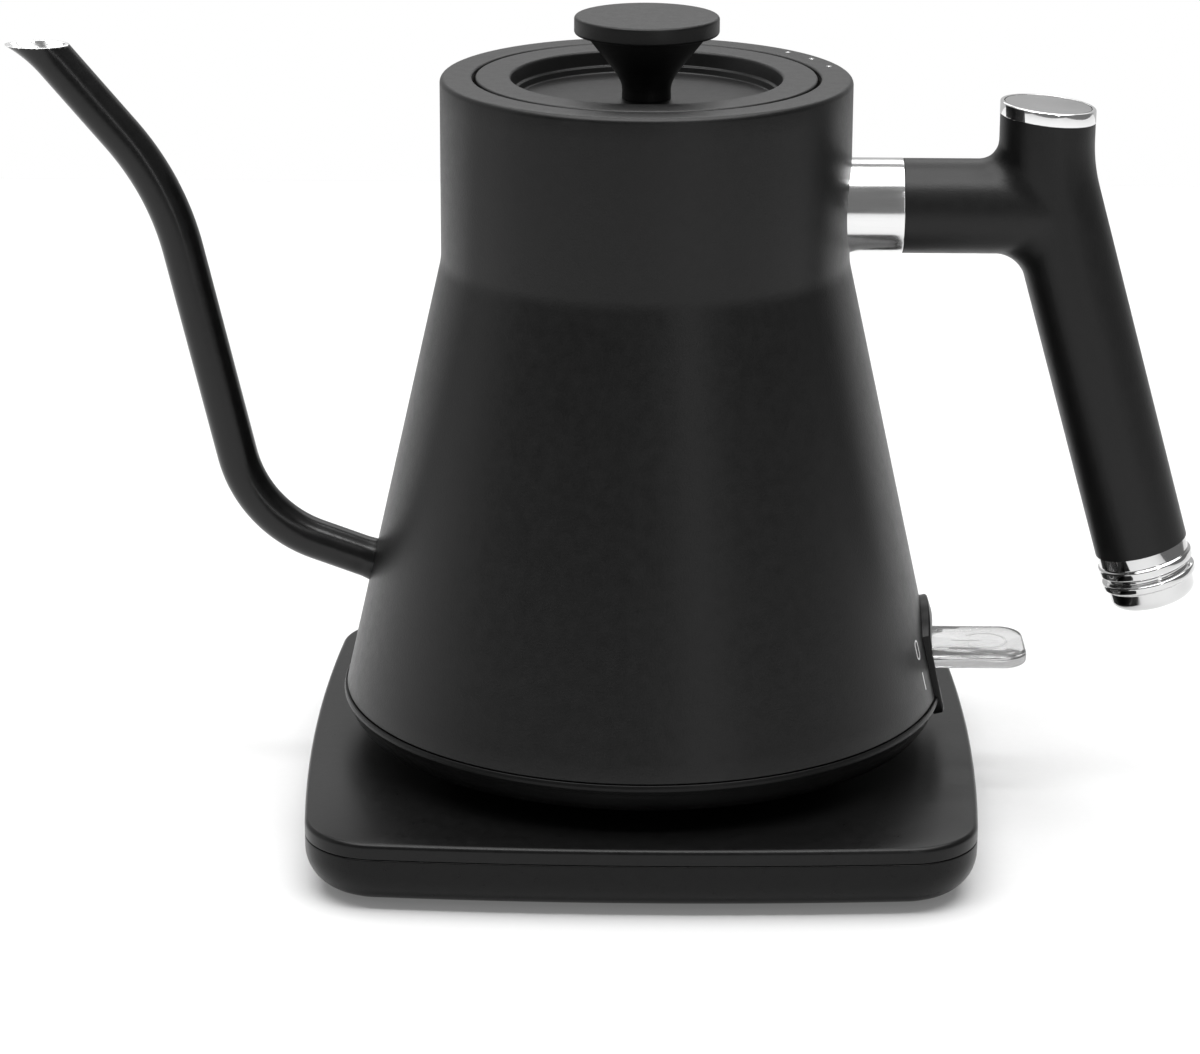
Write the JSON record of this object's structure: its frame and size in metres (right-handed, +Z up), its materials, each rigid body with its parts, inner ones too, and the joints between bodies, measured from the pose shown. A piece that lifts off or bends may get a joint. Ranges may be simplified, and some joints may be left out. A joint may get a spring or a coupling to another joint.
{
  "type": "gooseneck kettle",
  "caption": "Electric gooseneck pour-over kettle: conical body, thin curved spout, angled bar handle, knobbed lid and clear switch lever, on a square cordless power base.",
  "frame": {"origin": "on the counter, at the kettle's own upright axis", "axes": "+Z up, +X towards the handle and the switch lever, -X towards the spout, +Y away from the viewer, where the power lead leaves the base"},
  "size_m": [0.2998, 0.1712, 0.204],
  "materials": {
    "painted_steel": "fine-textured satin black powder coat",
    "black_moulding": "satin black moulded plastic",
    "dark_moulding": "matt dark moulded plastic",
    "handle_coat": "soft-touch satin black",
    "polished_chrome": "mirror-bright plated metal",
    "grey_disc": "matt mid-grey paint",
    "clear_acrylic": "clear polished acrylic",
    "stainless": "brushed stainless steel",
    "aluminium_plate": "plain milled aluminium",
    "contact_brass": "plain brass",
    "zinc_steel": "zinc-plated screws and pins",
    "grey_silicone": "soft translucent grey silicone",
    "black_rubber": "matt black rubber",
    "red_silicone": "red-brown heat-proof silicone",
    "control_moulding": "heat-proof cream moulding",
    "red_moulding": "red moulded plastic",
    "lamp_glass": "small neon indicator"
  },
  "bodies": {
    "base": {"base_top_cover": "black_moulding", "base_bottom_shell": "black_moulding", "foot_ring": "black_rubber", "base_socket": "dark_moulding", "base_contacts": "contact_brass", "base_screws": "zinc_steel", "cord_gland": "black_rubber", "cord_clamp": "dark_moulding", "clamp_screws": "zinc_steel"},
    "shutter": {"connector_shutter": "red_moulding"},
    "kettle": {"body_shell": "painted_steel", "spout": "painted_steel", "floor_plate": "stainless", "heat_spreader": "aluminium_plate", "heating_element": "stainless", "element_terminals": "contact_brass", "control_housing": "control_moulding", "dry_boil_discs": "stainless", "steam_tube": "stainless", "steam_grommet": "red_silicone", "steam_disc": "stainless", "switch_frame": "control_moulding", "kettle_plug": "dark_moulding", "plug_contacts": "contact_brass", "skirt_ring": "black_moulding", "bottom_cover": "dark_moulding", "bottom_screws": "zinc_steel", "switch_bezel": "black_moulding", "lever_pin": "zinc_steel", "rocker_pin": "zinc_steel", "indicator_lamp": "lamp_glass", "handle_bracket": "stainless", "handle_nut": "zinc_steel", "handle_collar": "polished_chrome", "handle_body": "handle_coat", "cap_ring": "polished_chrome", "cap_disc": "grey_disc", "end_cap_stud": "zinc_steel", "grip_end_cap": "polished_chrome"},
    "lid": {"lid_cover": "painted_steel", "lid_plate": "stainless", "lid_seal": "grey_silicone", "lid_knob": "painted_steel", "knob_screw": "zinc_steel"},
    "lever": {"switch_lever": "clear_acrylic", "lever_carrier": "control_moulding"},
    "rocker": {"trip_rocker": "red_moulding"}
  },
  "joints": [
    {"name": "kettle_turn", "type": "hinge", "parent": "base", "child": "shutter", "pos_m": [0, 0, 0.018], "axis": [0, 0, 1], "continuous": true},
    {"name": "kettle_lift", "type": "slide", "parent": "shutter", "child": "kettle", "axis": [0, 0, 1], "range_m": [0, 0.1]},
    {"name": "lid_lift", "type": "slide", "parent": "kettle", "child": "lid", "axis": [0, 0, 1], "range_m": [0, 0.06]},
    {"name": "switch_tilt", "type": "hinge", "parent": "kettle", "child": "lever", "pos_m": [0.062, 0, 0.0403], "axis": [0, 1, 0], "range_deg": [0, 20]},
    {"name": "rocker_tilt", "type": "hinge", "parent": "kettle", "child": "rocker", "pos_m": [0.0525, 0, 0.036], "axis": [0, 1, 0], "range_deg": [-10, 0]}
  ],
  "couplings": [
    {"joint": "rocker_tilt", "follows": "switch_tilt", "ratio": -0.5}
  ]
}
